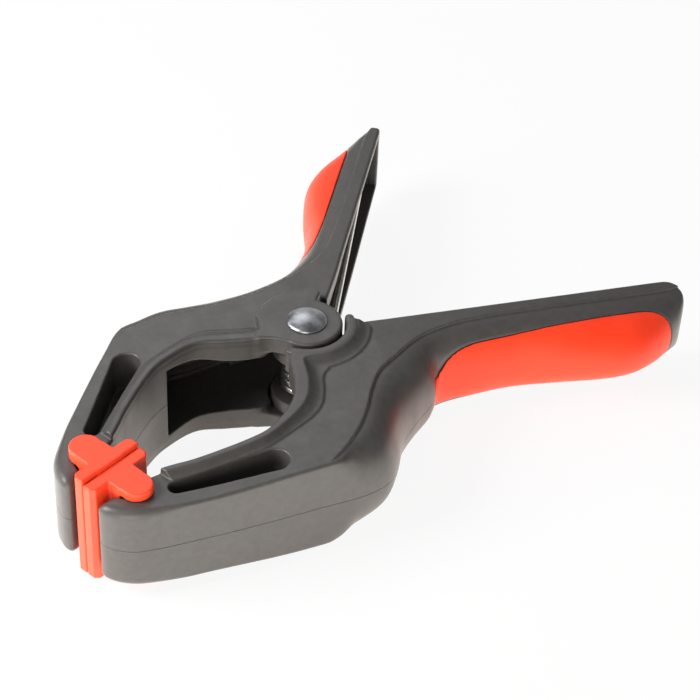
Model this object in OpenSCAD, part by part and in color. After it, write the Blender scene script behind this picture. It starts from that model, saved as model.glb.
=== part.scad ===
// Spring clamp: two moulded arms on a rivet, closed by a torsion spring, with swivel pads and soft grips.
// Origin: on the pivot axis, at the face of the rivet's formed tail, which the clamp rests on.
// +X runs from the pivot to the handles, +Z along the pivot axis, and the far arm lies at +Y.

/* [Arms] */
// Thickness of the arms at the shoulders
body_t = 31.2; // [28.2:0.4:34.2]
// Thickness of the jaws at the nose
nose_t = 28.4; // [26:0.2:30.6]
// Distance from the pivot to the nose of the jaws
jaw_reach = 92.8; // [89:0.4:97]
// Distance from the pivot to the shoulders, along the jaws
shoulder_x = 40; // [37:0.5:43]
// Distance from the closing line to a shoulder
shoulder_v = 41.6; // [40:0.2:43.2]
// Bow of a jaw's outer wall between the nose and the shoulder
wall_bow = 1; // [0:0.1:1.6]
// Distance from the closing line to the deepest point of the throat
throat_v = 20.5; // [19:0.5:22]
// Distance from the pivot to the tip of the far handle
far_len = 113.5; // [109:0.5:118]
// Distance from the pivot to the tip of the near handle
near_len = 118; // [113:1:123]
// Angle of each handle to the closing line
handle_angle = 31.4; // [30:0.2:34]
// Thickness of a handle at its tip
tip_t = 23; // [20:0.5:26]
// Thickness of the flanges on both sides of an arm's channel
flange_t = 3; // [2.4:0.1:4]
// Width of the bead along the throat and of the rim along the handle
rim_w = 4.6; // [4:0.1:5.5]
// Height of the bead above the flat of the jaw
bead_h = 2; // [1:0.1:2.2]
// Offset of the closing line from the pivot
closing_y = -2.5; // [-3.2:0.1:-1.8]

/* [Jaw pockets] */
// Radius of a pocket's end near the shoulder
pocket_r = 4; // [3:0.1:4.5]
// Radius of a pocket's end near the nose
pocket_tip_r = 2.2; // [1.5:0.1:2.6]
// Depth of a pocket from each side
pocket_depth = 13; // [8:0.5:13.5]
// Thickness of the jaw wall outside a pocket near the shoulder
pocket_wall = 3.8; // [3.2:0.1:4.4]
// Thickness of the jaw wall outside a pocket near the nose
pocket_tip_wall = 5.3; // [4.3:0.1:6]

/* [Pivot] */
// Diameter of the rivet
rivet_d = 6; // [5:0.1:7]
// Diameter of the rivet's domed head
head_d = 12; // [10:0.5:14]
// Thickness of the rim of the rivet's head
head_rim = 0.6; // [0.4:0.1:1.2]
// Height of the dome above the rim
head_dome = 1.5; // [1:0.1:2]
// Thickness of the rivet's formed tail
tail_t = 1; // [0.8:0.1:1.4]
// Radius of the outer ears
ear_r = 10.7; // [10:0.1:11.2]
// Radius of the raised plate on the far arm
plate_r = 15.2; // [14:0.1:16]
// Height of the raised plate above the flat of the jaw, on the head's side
plate_h = 2.4; // [2.1:0.1:3]
// Thickness of an outer ear under its raised plate
outer_ear_t = 3.6; // [3:0.1:4.2]
// Height of the raised plate on the tail's side
back_plate_h = 1.7; // [1.2:0.1:2]
// Thickness of the hook that wraps the far ears
hook_t = 2.8; // [2:0.1:3.4]
// Gap between ears, and between an ear and the wall round it
ear_gap = 0.25; // [0.2:0.05:0.4]
// Radial clearance of the inner ears on the rivet
pivot_clearance = 0.05; // [0.02:0.01:0.1]

/* [Spring] */
// Diameter of the spring wire
wire_d = 2.1; // [1.8:0.1:2.2]
// Mean radius of the coil
coil_r = 6.2; // [5.6:0.1:6.6]
// Whole turns of the coil
coil_turns = 4; // [3:1:4]
// Gap between neighbouring turns
turn_gap = 0.5; // [0.45:0.05:0.55]
// Length of a spring leg
leg_len = 86; // [70:1:92]

/* [Pads] */
// Length of a pad
pad_len = 21.4; // [19:0.2:22]
// Thickness of a pad's bar
pad_t = 4; // [3.4:0.1:4.4]
// Thickness of a pad's ears
pad_ear_t = 2.6; // [2.2:0.1:3]
// Extra height of the far pad's upper ear
far_pad_extra = 1.2; // [0:0.1:2]
// Radius of a pad's round ears
pad_ear_r = 4.6; // [4.2:0.1:5]
// Distance from the nose to the middle of the pads
pad_setback = 11; // [10.8:0.1:12.4]
// Distance from the closing line to a pad's own pivot
pad_pivot_v = 10; // [9.6:0.1:10.6]
// Radius of the round knuckle that a pad turns on
knuckle_r = 4; // [3.6:0.1:4.2]
// Radius of the nub that holds a pad's ear
nub_r = 2; // [1.5:0.1:2.4]
// Height of that nub
nub_h = 1.1; // [0.8:0.1:1.4]
// Gap between a pad and its jaw
pad_gap = 0.3; // [0.2:0.05:0.45]

/* [Grips] */
// Thickness of the soft grip
grip_t = 2.6; // [2:0.1:3.2]
// Depth of the near handle at its grip, from rim to spine
near_bulge = 23.6; // [22:0.2:25]
// Depth of the far handle at its grip, from rim to spine
far_bulge = 21.2; // [20:0.2:23]
// Distance from the rim's inner edge to the far grip's edge
far_grip_edge = 9.2; // [8.4:0.1:10]
// Distance from the rim's inner edge to the near grip's edge
near_grip_edge = 11.4; // [10.4:0.1:12.4]

/* [Hidden] */

nylon = "#45423f";
soft_orange = "#ff4d2d";
pad_orange = "#ff5233";
zinc = "#c9ccce";
spring_steel = "#9a9b97";
fine = 64;

half_t = body_t / 2;
nose_half = nose_t / 2;
tip_half = tip_t / 2;
crest_z = half_t + bead_h;
pad_half = nose_half + pad_gap + pad_ear_t;
plate_top = half_t + plate_h;
back_plate_z = half_t + back_plate_h;
rest_z = back_plate_z + tail_t;
ear_under = half_t - outer_ear_t;
well_r = ear_r;
inner_ear_r = well_r - 2 * ear_gap;
inner_ear_top = ear_under - ear_gap;
cup_gap = 1.1;
cup_r = ear_r + cup_gap;
wall_angle = 27.6;
wall_slope = tan(wall_angle);
pad_x = jaw_reach - pad_setback;

// Each arm is drawn with w pointing away from the closing line, and the near arm is then mirrored.
// side is 1 for the far arm and -1 for the near arm. Their rims pass the pivot at these distances.
far_rim = -4;
near_rim = 1.3;
function rim_of(side) = side > 0 ? far_rim : near_rim;
function bulge_of(side) = side > 0 ? far_bulge : near_bulge;
function length_of(side) = side > 0 ? far_len : near_len;

// A point of the jaw, x from the pivot and v from the closing line
function jaw(side, x, v) = [x, v + side * closing_y];

// A point of the jaw's outer wall, which runs in a slight bow from the nose to the shoulder
function jaw_wall(side, x) =
  let (bow = wall_bow * sin(180 * (x + jaw_reach) / (jaw_reach - shoulder_x)))
  jaw(side, x, shoulder_v + (x + shoulder_x) * wall_slope + bow);

// A point beside the handle, s along its rim from the pivot and d across it from rim to spine
function beside(side, s, d) = [
  s * cos(handle_angle) - (rim_of(side) + d) * sin(handle_angle),
  s * sin(handle_angle) + (rim_of(side) + d) * cos(handle_angle)
];

// Half the thickness of an arm, which thins from the pivot to the tip of the handle
taper_start = 18;
function half_at(side, s) =
  half_t - (half_t - tip_half) * max(0, (s - taper_start) / (length_of(side) - taper_start));

// A station across an arm: inner edge, edge of the flat, spine, half thickness, bead, step, squareness
edge_round = [0.5, -0.9];
square_wall = 9;
round_flank = 2.2;
rim_step = 0.6;
function jaw_station(side, inner, outer, swell, bead) = [
  inner, outer + edge_round, outer, nose_half + (half_t - nose_half) * swell, bead, 0, square_wall
];
function waist_station(inner, flat, spine, bead, step) = [
  inner, flat, spine, half_t, bead, step, round_flank
];
function handle_station(side, s, lean, in_d, flat_d, depth, share) = [
  beside(side, s, min(in_d, depth / 2)), beside(side, s, min(flat_d, depth - 1.2)),
  beside(side, s + lean, depth),
  half_at(side, s) * share, 0, rim_step * share, round_flank
];

// The jaws swell from the nose's thickness to the shoulder's, and the bead rises behind the pads.
function jaw_stations(side) = [
  jaw_station(side, jaw(side, -jaw_reach, 5.5), jaw(side, -jaw_reach - 0.1, 8.2), -0.9, 0),
  jaw_station(side, jaw(side, 1 - jaw_reach, 5.5), jaw(side, 2.2 - jaw_reach, 12.8), -0.2, 0),
  jaw_station(side, jaw(side, 5 - jaw_reach, 6), jaw_wall(side, 7.4 - jaw_reach), 0, 0),
  jaw_station(side, jaw(side, 20 - jaw_reach, 9.2), jaw_wall(side, 23 - jaw_reach), 0.05, bead_h / 10),
  jaw_station(side, jaw(side, 30.8 - jaw_reach, 14.2), jaw_wall(side, 35.4 - jaw_reach), 0.5, bead_h),
  jaw_station(side, jaw(side, -8.3 - shoulder_x, throat_v - 1.2), jaw_wall(side, -8.3 - shoulder_x), 0.85, bead_h),
  jaw_station(side, jaw(side, -shoulder_x, throat_v), jaw_wall(side, -shoulder_x), 1, bead_h)
];

// From the shoulder past the pivot, the flat narrows and the flank swells out to the spine.
function waist_stations(side) = side > 0 ? [
  waist_station([-29.7, throat_v - 3.7], [-33.3, 36.6], [-30.6, 40.5], bead_h, 0),
  waist_station([-22.2, 10.8], [-25.5, 35], [-21.8, 40], bead_h, 0.2),
  waist_station([-15.2, 5.4], [-17.9, 31.2], [-15.3, 36.9], bead_h, 0.4),
  waist_station([-8.8, 4.3], [-11, 27], [-7.2, 34], bead_h, rim_step),
  waist_station([0.5, 3.7], [-1.8, 23.5], [1.9, 29.4], bead_h, rim_step),
  waist_station([11.3, 3.5], [7.9, 21.3], [11, 26.6], 0, rim_step),
  waist_station(beside(side, 25, 0), [19.3, 20.5], [20, 27], 0, rim_step)
] : [
  waist_station([-29.2, throat_v - 0.2], [-32.1, 42.9], [-29.3, 49.2], bead_h, 0),
  waist_station([-21.7, 14.9], [-22.1, 40], [-20.5, 50.8], bead_h, 0.2),
  waist_station([-14.8, 6.7], [-14.2, 36.2], [-13.2, 48], bead_h, 0.4),
  waist_station([-8.6, 5.5], [-7.3, 31.9], [-4.3, 42.7], 0, rim_step),
  waist_station([0.8, 7.2], [0.6, 28.2], [6.2, 39.8], 0, rim_step),
  waist_station([9.4, 7.7], [10.6, 26.9], [15.1, 38], 0, rim_step),
  waist_station(beside(side, 27, 0), [21.3, 26.3], [23, 34.4], 0, rim_step)
];

// Along the handle: distance short of the tip, lean of the spine, inner edge, edge of the flat, depth as
// a share of the bulge on the far and on the near arm, and thickness as a share of the taper's
function handle_rows() = [
  [74, 6, 0, rim_w + 1.6, 0.68, 0.66, 1],
  [60, 4, 0, rim_w + 0.3, 0.71, 0.67, 1],
  [45, 2.5, 0, rim_w, 0.86, 0.805, 1],
  [31, 2, 0, rim_w, 0.94, 0.935, 1],
  [20, 1, 0, rim_w, 0.84, 0.94, 1],
  [11, 0.5, 0, rim_w, 0.61, 0.81, 1],
  [5, 0.3, 0.4, rim_w + 4, 0.41, 0.61, 1],
  [1.5, 0, 1.6, 12, 0.29, 0.46, 0.96],
  [0, 0, 3.4, 9.4, 0.25, 0.4, 0.85],
  [-1.8, 0, 4.4, 9.2, 0.24, 0.37, 0.62],
  [-2.8, 0, 5, 9, 0.23, 0.35, 0.36]
];
function handle_stations(side) = [
  for (row = handle_rows()) let (depth = (side > 0 ? row[4] : row[5]) * bulge_of(side))
    handle_station(side, length_of(side) - row[0], row[1], row[2], row[3], depth, row[6])
];
function stations(side) = concat(jaw_stations(side), waist_stations(side), handle_stations(side));

// A smooth curve through the stations, at any place t counted in stations
function spline(a, b, c, d, f) =
  b + 0.5 * f * (c - a + f * (2 * a - 5 * b + 4 * c - d + f * (3 * (b - c) + d - a)));
function at(rows, t, k) =
  let (last = len(rows) - 1, i = min(floor(t), last - 1))
  spline(rows[max(i - 1, 0)][k], rows[i][k], rows[i + 1][k], rows[min(i + 2, last)][k], t - i);

function along(from, to, distance) = from + (to - from) * distance / norm(to - from);
function raise(p, z) = [p[0], p[1], z];
function flank_point(flat, spine, z, power, a) =
  raise(flat + (spine - flat) * pow(sin(a), 2 / power), z * pow(cos(a), 2 / power));

// Upper half of the ring of points round an arm at t, from the inner edge over the flat to the spine
flank_angles = [24, 46, 66, 80];
function upper_ring(rows, t) =
  let (
    inner = at(rows, t, 0),
    flat = at(rows, t, 1),
    spine = at(rows, t, 2),
    z = at(rows, t, 3),
    bead = max(0, at(rows, t, 4)),
    step = max(0, at(rows, t, 5)),
    power = max(round_flank, at(rows, t, 6)),
    fit = min(1, norm(flat - inner) / (rim_w + 0.8)),
    groove = bead > 0.3 ? 0.3 : 0
  ) [
    raise(inner, z - 1.4),
    raise(along(inner, flat, 0.8 * fit), z + bead * 0.7),
    raise(along(inner, flat, rim_w / 2 * fit), z + bead),
    raise(along(inner, flat, (rim_w - 0.9) * fit), z + bead * 0.6),
    raise(along(inner, flat, (rim_w - 0.1) * fit), z - groove),
    raise(flat, z),
    for (a = flank_angles) flank_point(flat, spine, z - step, power, a),
    raise(spine, 0)
  ];
function mirror_z(p) = [p[0], p[1], -p[2]];
function arm_ring(rows, t) =
  let (up = upper_ring(rows, t), n = len(up))
  concat(up, [for (i = [n - 2:-1:0]) mirror_z(up[i])]);

// The core that a grip is moulded on, drawn in from the flank by the grip's thickness
function core_ring(rows, t) =
  let (
    inner = at(rows, t, 0),
    flat = at(rows, t, 1),
    spine = along(at(rows, t, 2), flat, grip_t),
    z = at(rows, t, 3) - rim_step - 0.7 * grip_t,
    up = [
      raise(inner, z),
      raise(flat, z),
      for (a = flank_angles) flank_point(flat, spine, z, round_flank, a),
      raise(spine, 0)
    ],
    n = len(up)
  )
  concat(up, [for (i = [n - 2:-1:0]) mirror_z(up[i])]);

// The channel inside an arm, open towards the closing line: depth as a share of the arm, and how much
// thicker the flanges are than at the handle
cavity_rows = [
  [0.66, 0], [0.76, 1.5], [0.79, 3], [0.79, 3], [0.74, 3], [0.74, 3], [0.68, 3],
  [0.6, 1.5], [0.58, 0], [0.47, 0], [0.3, 0], [0.18, 0], [0.16, 0], [0.13, 0]
];
cavity_start = 6;
cavity_mouth = 4;
function cavity_ring(rows, t) =
  let (
    inner = at(rows, t, 0),
    spine = at(rows, t, 2),
    share = at(cavity_rows, t - cavity_start, 0),
    z = at(rows, t, 3) - flange_t - at(cavity_rows, t - cavity_start, 1),
    mouth = along(inner, spine, -cavity_mouth),
    corner = inner + (spine - inner) * share * 0.86,
    floor_point = inner + (spine - inner) * share
  ) [
    raise(mouth, z), raise(corner, z), raise(floor_point, z * 0.6),
    raise(floor_point, -z * 0.6), raise(corner, -z), raise(mouth, -z)
  ];

// The end of a loft as triangles, between each point of a ring and the one opposite
function cap_faces(n) = [
  for (j = [0:floor((n - 1) / 2) - 1]) let (k = n - 1 - j)
    each (j + 1 == k - 1 ? [[j, j + 1, k]] : j + 1 == k ? [] : [[j, j + 1, k], [j + 1, k - 1, k]])
];

// A closed skin over a row of rings that all have as many points
module loft(rings) {
  n = len(rings[0]);
  last = len(rings) - 1;
  polyhedron(
    points = [for (ring = rings) each ring],
    faces = concat(
      [for (f = cap_faces(n)) [f[2], f[1], f[0]]],
      [
        for (i = [0:last - 1], j = [0:n - 1]) let (a = i * n + j, b = i * n + (j + 1) % n)
          each [[a, b, a + n], [b, b + n, a + n]]
      ],
      [for (f = cap_faces(n)) [last * n + f[0], last * n + f[1], last * n + f[2]]]
    )
  );
}

// Places along the arm at which rings are drawn
function places(from, to, step) = [for (t = [from:step:to]) t];
grip_start = 11;

module arm_body(side) {
  rows = stations(side);
  loft([for (t = places(0, len(rows) - 1, 0.5)) arm_ring(rows, t)]);
}

module arm_channel(side) {
  rows = stations(side);
  loft([for (t = places(cavity_start, cavity_start + len(cavity_rows) - 1, 0.5)) cavity_ring(rows, t)]);
}

module handle_core(side) {
  rows = stations(side);
  loft([for (t = places(grip_start, len(rows) - 1, 0.5)) core_ring(rows, t)]);
}

module handle_body(side) {
  rows = stations(side);
  loft([for (t = places(grip_start, len(rows) - 1, 0.5)) arm_ring(rows, t)]);
}

// The stretch of the flank that the grip covers, seen along the pivot
module grip_region(side) {
  deep = bulge_of(side);
  edge = side > 0 ? far_grip_edge : near_grip_edge;
  tip = length_of(side);
  outline = [
    [33, deep + 9], [33.4, edge + 7.6], [36.5, edge + 4.2], [41, edge + 2.1], [47, edge + 0.9],
    [56, edge + 0.3], [68, edge], [tip - 22, edge - 0.2],
    [tip - 13, edge - 0.2], [tip - 8.5, edge + 0.8], [tip - 5.6, edge + 2.8],
    [tip - 4.6, edge + 6.4], [tip - 4.6, deep + 9]
  ];
  translate([0, 0, -half_t - 1])
    linear_extrude(body_t + 2)
      polygon([for (p = outline) beside(side, p[0], p[1])]);
}

function arc(centre, r, from, to, steps) = [
  for (i = [0:steps]) centre + r * [cos(from + (to - from) * i / steps), sin(from + (to - from) * i / steps)]
];

// A pocket's outline: two round ends joined by straight sides, beside these places of the outer wall
pocket_near_x = 16 - jaw_reach;
pocket_far_x = -11.4 - shoulder_x;
function pocket_centre(side, x, r, wall) =
  jaw_wall(side, x) + (r + wall) * [sin(wall_angle), -cos(wall_angle)];
module pockets(side) {
  tip = pocket_centre(side, pocket_near_x, pocket_tip_r, pocket_tip_wall);
  big = pocket_centre(side, pocket_far_x, pocket_r, pocket_wall);
  line = atan2(big[1] - tip[1], big[0] - tip[0]);
  flare = asin((pocket_r - pocket_tip_r) / norm(big - tip));
  outline = concat(
    arc(big, pocket_r, line - 90 - flare, line + 90 + flare, 12),
    arc(tip, pocket_tip_r, line + 90 + flare, line + 270 - flare, 8)
  );
  for (z = [half_t - pocket_depth, -half_t - 1])
    translate([0, 0, z])
      linear_extrude(pocket_depth + 1)
        polygon(outline);
}

// The notch at the nose in which a pad swivels. It flares where the pad's neck swings to the throat.
module pad_notch(side) {
  half = pad_ear_r + 0.4;
  floor_v = pad_pivot_v + 0.8;
  translate([0, 0, -half_t - 5])
    linear_extrude(body_t + 10)
      polygon([
        jaw(side, -pad_x - half, -2), jaw(side, -pad_x - half, floor_v - 2.4),
        jaw(side, -pad_x - half + 1.2, floor_v), jaw(side, -pad_x + half + 0.2, floor_v),
        jaw(side, -pad_x + half + 2.6, pad_t), jaw(side, -pad_x + half + 2.6, -2)
      ]);
}

module pad_knuckle(side) {
  p = jaw(side, -pad_x, pad_pivot_v);
  translate([p[0], p[1], -nose_half])
    cylinder(h = nose_t, r = knuckle_r, $fn = fine);
  translate([p[0] - knuckle_r, p[1], -nose_half])
    cube([2 * knuckle_r, 5, nose_t]);
  translate([p[0], p[1], -nose_half - nub_h])
    cylinder(h = nose_t + 2 * nub_h, r = nub_r, $fn = fine);
}

module rivet_bore(clearance) {
  translate([0, 0, -half_t - 5])
    cylinder(h = body_t + 10, r = rivet_d / 2 + clearance, $fn = fine);
}

module mirror_near(side) {
  translate([0, 0, rest_z])
    mirror([0, side > 0 ? 0 : 1, 0])
      children();
}

module arm_shell(side) {
  difference() {
    arm_body(side);
    arm_channel(side);
    pockets(side);
    pad_notch(side);
    difference() {
      grip_region(side);
      handle_core(side);
    }
  }
}

// The raised plate on the far arm: an arc that ends in a step on the handle's side
plate_step_angle = 25;
module ear_plate(top) {
  outline = concat(
    arc([0, 0], plate_r, plate_step_angle, 120, 16),
    [[-13.9, 5.3], [-10.4, -2.4], [0, 0]]
  );
  z = top > 0 ? ear_under : -back_plate_z;
  height = (top > 0 ? plate_top : back_plate_z) - ear_under;
  translate([0, 0, z])
    cylinder(h = height, r = ear_r, $fn = fine);
  translate([0, 0, z])
    linear_extrude(height)
      polygon(outline);
}

module far_arm() {
  color(nylon) mirror_near(1) difference() {
    union() {
      difference() {
        arm_shell(1);
        translate([0, 0, -ear_under])
          cylinder(h = 2 * ear_under, r = well_r + ear_gap, $fn = fine);
        hook_sweep();
      }
      ear_plate(1);
      ear_plate(-1);
      pad_knuckle(1);
    }
    rivet_bore(0.02);
  }
}

// The hook of the near arm wraps the far ears. It stands 2 mm above the flat, its free end is round,
// and a window between its two straps lets the spring's legs past.
hook_from = 33;
hook_to = 163;
hook_window_to = 75;
hook_out = cup_r + hook_t;
module hook() {
  difference() {
    union() {
      rotate([0, 0, hook_from])
        rotate_extrude(angle = hook_to - hook_from, $fn = 96)
          translate([cup_r, -crest_z])
            square([hook_t, 2 * crest_z]);
      rotate([0, 0, hook_from])
        translate([cup_r + hook_t / 2, 0, -crest_z])
          cylinder(h = 2 * crest_z, r = hook_t / 2, $fn = fine);
    }
    rotate([0, 0, hook_from - 20])
      rotate_extrude(angle = hook_window_to - hook_from + 20, $fn = 96)
        translate([cup_r - 1, -coil_half() - ear_gap])
          square([hook_t + 2, 2 * (coil_half() + ear_gap)]);
  }
  // A concave foot blends the hook into the flat on both faces.
  foot = 3.9;
  rotate([0, 0, hook_from + 12])
    rotate_extrude(angle = hook_to - hook_from - 30, $fn = 96)
      polygon(concat(
        [[hook_out - 0.8, half_t - 1], [hook_out - 0.8, crest_z - 0.15]],
        [for (a = [0:15:90]) [hook_out - 0.4 + foot * (1 - cos(a)), crest_z - 0.15 - (bead_h - 0.15) * sin(a)]],
        [[hook_out - 0.4 + foot, half_t - 1]]
      ));
  rotate([0, 0, hook_from + 12])
    rotate_extrude(angle = hook_to - hook_from - 30, $fn = 96)
      mirror([0, 1, 0])
        polygon(concat(
          [[hook_out - 0.8, half_t - 1], [hook_out - 0.8, crest_z - 0.15]],
          [for (a = [0:15:90]) [hook_out - 0.4 + foot * (1 - cos(a)), crest_z - 0.15 - (bead_h - 0.15) * sin(a)]],
          [[hook_out - 0.4 + foot, half_t - 1]]
        ));
}

// The space that the hook sweeps past the far arm
module hook_sweep() {
  translate([0, 0, -half_t - 5])
    rotate([0, 0, 180])
      rotate_extrude(angle = 178 + plate_step_angle, $fn = 96)
        square([hook_out + 0.35, body_t + 10]);
}

module inner_ears() {
  coil_space = coil_half() + ear_gap;
  for (z = [coil_space, -inner_ear_top]) {
    translate([0, 0, z])
      cylinder(h = inner_ear_top - coil_space, r = inner_ear_r, $fn = fine);
    translate([0, 0, z])
      linear_extrude(inner_ear_top - coil_space)
        polygon(concat([[0, 0]], arc([0, 0], cup_r + 1, hook_from + 5, hook_to - 7, 10)));
  }
}

module near_arm() {
  color(nylon) mirror_near(-1) difference() {
    union() {
      difference() {
        arm_shell(-1);
        translate([0, 0, -half_t - 5])
          cylinder(h = body_t + 10, r = cup_r, $fn = fine);
      }
      hook();
      inner_ears();
      pad_knuckle(-1);
    }
    rivet_bore(pivot_clearance);
  }
}

module grip(side) {
  color(soft_orange) mirror_near(side) difference() {
    intersection() {
      handle_body(side);
      grip_region(side);
    }
    handle_core(side);
  }
}

module far_grip() {
  grip(1);
}

module near_grip() {
  grip(-1);
}

// A pad: a bar along the closing line, and an ear above and below that turns on the jaw's nub
module pad(side, extra) {
  face = 0.05;
  centre = jaw(side, -pad_x, pad_pivot_v);
  bar = jaw(side, -pad_x - pad_len / 2, face);
  neck = jaw(side, -pad_x - pad_ear_r, face);
  saddle_v = pad_pivot_v - 2;
  color(pad_orange) mirror_near(side) difference() {
    union() {
      translate([bar[0], bar[1], -pad_half])
        cube([pad_len, pad_t - face, 2 * pad_half + extra]);
      translate([neck[0], neck[1], -pad_half])
        cube([2 * pad_ear_r, saddle_v - face, 2 * pad_half + extra]);
      for (z = [-pad_half, nose_half + pad_gap]) {
        tall = pad_ear_t + (z > 0 ? extra : 0);
        translate([centre[0], centre[1], z])
          cylinder(h = tall, r = pad_ear_r, $fn = fine);
        translate([neck[0], neck[1], z])
          cube([2 * pad_ear_r, pad_pivot_v - face, tall]);
      }
    }
    translate([centre[0], centre[1], -nose_half - pad_gap])
      cylinder(h = nose_t + 2 * pad_gap, r = knuckle_r + pad_gap, $fn = fine);
    translate([centre[0], centre[1], -nose_half - nub_h - pad_gap])
      cylinder(h = nose_t + 2 * (nub_h + pad_gap), r = nub_r + pivot_clearance, $fn = fine);
  }
}

module far_pad() {
  pad(1, far_pad_extra);
}

module near_pad() {
  pad(-1, 0);
}

// The torsion spring: one wire from the near leg round the coil to the far leg. The legs leave the
// coil on their inner sides and lean into the mouths of the two channels.
leg_seat = 2.2;
wire_sides = 6;
rings_per_turn = 8;
function leg_angle(side) = handle_angle + asin((rim_of(side) + leg_seat + coil_r) / leg_len);
function coil_from() = 90 - leg_angle(-1);
function coil_sweep() = leg_angle(1) + leg_angle(-1) - 180 + 360 * (coil_turns + 1);
function coil_pitch() = wire_d + turn_gap;
function coil_half() = (coil_pitch() * coil_sweep() / 360 + wire_d) / 2;
coil_rings = ceil(coil_sweep() / 360 * rings_per_turn);
function coil_point(i) =
  let (f = i / coil_rings, a = coil_from() + f * coil_sweep())
  [coil_r * cos(a), coil_r * sin(a), (f - 0.5) * coil_pitch() * coil_sweep() / 360];
coil_path = [for (i = [0:coil_rings]) coil_point(i)];
function leg_end(side) =
  let (p = side > 0 ? coil_path[coil_rings] : coil_path[0], a = side * leg_angle(side))
  p + leg_len * [cos(a), sin(a), 0];
wire_path = concat([leg_end(-1)], coil_path, [leg_end(1)]);

function unit(v) = v / norm(v);
function heading(path, i) =
  unit(unit(path[min(i + 1, len(path) - 1)] - path[i == len(path) - 1 ? i - 1 : i])
    + unit(path[i == 0 ? 1 : i] - path[max(i - 1, 0)]));
function wire_ring(path, i) =
  let (h = heading(path, i), side_way = unit(cross([0, 0, 1], h)), up = cross(h, side_way))
  [
    for (k = [0:wire_sides - 1]) let (a = -360 * k / wire_sides)
      path[i] + wire_d / 2 * (side_way * cos(a) + up * sin(a))
  ];

// Least gap between the wire and its next turns, measured on the points of the coil
wire_gap = min([
  for (i = [0:coil_rings]) for (j = [i + rings_per_turn - 2:1:coil_rings])
    norm(coil_path[i] - coil_path[j])
]) - wire_d;

module spring() {
  echo(least_gap_between_turns = wire_gap);
  color(spring_steel)
    translate([0, 0, rest_z])
      loft([for (i = [0:len(wire_path) - 1]) wire_ring(wire_path, i)]);
}

// The rivet: shank, domed head above and flat formed tail below
module rivet() {
  dome_r = (pow(head_d / 2, 2) + pow(head_dome, 2)) / (2 * head_dome);
  tail_z = -back_plate_z;
  color(zinc) translate([0, 0, rest_z]) {
    translate([0, 0, tail_z - tail_t])
      cylinder(h = tail_t, r = head_d / 2 - 0.8, $fn = fine);
    translate([0, 0, tail_z - tail_t])
      cylinder(h = plate_top - tail_z + tail_t, r = rivet_d / 2, $fn = fine);
    translate([0, 0, plate_top])
      cylinder(h = head_rim, r = head_d / 2, $fn = fine);
    intersection() {
      translate([0, 0, plate_top + head_rim + head_dome - dome_r])
        sphere(r = dome_r, $fn = 128);
      translate([0, 0, plate_top + head_rim / 2])
        cylinder(h = head_dome + head_rim, r = head_d / 2, $fn = fine);
    }
  }
}

far_arm();
near_arm();
far_grip();
near_grip();
far_pad();
near_pad();
spring();
rivet();
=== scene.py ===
# Dressed model of a spring clamp: smooth moulded arms, soft grips, swivel pads, spring and rivet.
# Shapes are worked out in millimetres as distance fields round the clamp's middle plane, with x from the
# pivot to the handles and w away from the line on which the pads meet, and are meshed in metres.
import math

import bpy
import numpy as np
import openvdb
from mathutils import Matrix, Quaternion, Vector

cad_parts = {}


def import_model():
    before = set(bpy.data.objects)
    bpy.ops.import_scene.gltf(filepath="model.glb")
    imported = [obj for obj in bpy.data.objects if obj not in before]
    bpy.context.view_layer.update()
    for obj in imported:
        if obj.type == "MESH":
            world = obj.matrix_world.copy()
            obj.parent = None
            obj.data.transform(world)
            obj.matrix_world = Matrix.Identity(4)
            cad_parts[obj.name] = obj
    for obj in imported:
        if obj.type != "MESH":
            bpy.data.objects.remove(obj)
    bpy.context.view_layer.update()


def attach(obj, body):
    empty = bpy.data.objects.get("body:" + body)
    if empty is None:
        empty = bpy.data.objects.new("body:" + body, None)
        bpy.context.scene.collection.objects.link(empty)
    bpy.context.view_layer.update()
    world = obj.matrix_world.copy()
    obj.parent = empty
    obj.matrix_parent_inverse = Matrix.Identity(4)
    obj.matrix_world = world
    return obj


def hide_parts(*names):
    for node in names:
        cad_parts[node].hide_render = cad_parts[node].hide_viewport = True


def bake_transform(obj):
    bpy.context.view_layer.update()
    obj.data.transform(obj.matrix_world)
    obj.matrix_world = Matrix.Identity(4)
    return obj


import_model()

MM = 0.001
REST_Z = 18.3  # height of the middle plane over the plane that the clamp lies on
FAR, NEAR = 1, -1  # the far arm lies at +Y and the near arm at -Y

# ---------------------------------------------------------------- driving sizes, mm
# jaws
HALF_T = 15.6  # half an arm's thickness
NOSE_HALF = 14.2  # half the thickness at the nose
JAW_REACH = 92.8
SHOULDER_X, SHOULDER_V = 40.0, 41.6
THROAT_V = 20.5
WALL_ANGLE = math.radians(27.6)
WALL_BOW = 1.0
CLOSING_Y = -2.5  # the line on which the pads meet
EDGE_R = 0.9  # rounding of the moulding's edges
NOSE_EDGE_R = 2.8  # rounding of the nose's edges
FLANGE_T = 3.0

# handles
HANDLE_LEN = {FAR: 113.5, NEAR: 118.0}
HANDLE_ANGLE = math.radians(31.4)
RIM = {FAR: -4.0, NEAR: 1.3}  # offset of the handle's rim from a line through the pivot
BULGE = {FAR: 21.2, NEAR: 23.6}  # greatest depth of the handle, from rim to spine
TIP_HALF, TAPER_START = 11.5, 18.0
TIP_OVER = 2.8  # how far the tip goes past the handle's length
TIP_R = {FAR: 2.6, NEAR: 1.1}
TIP_ROUND = 8.5  # rounding of the near tip in plan
RIM_W, RIM_STEP = 4.6, 0.85
FLANK_POWER = 2.2  # squareness of the rounded flank

# raised lip round the throat and the hook
LIP_H, LIP_START = 2.0, -72.5
LIP_STEP = 0.16  # height of the step at the lip's foot, as a share of the lip's
LIP_HOLLOW = 2.2  # how hollow the slope is
CREST_W = 2.2

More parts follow.
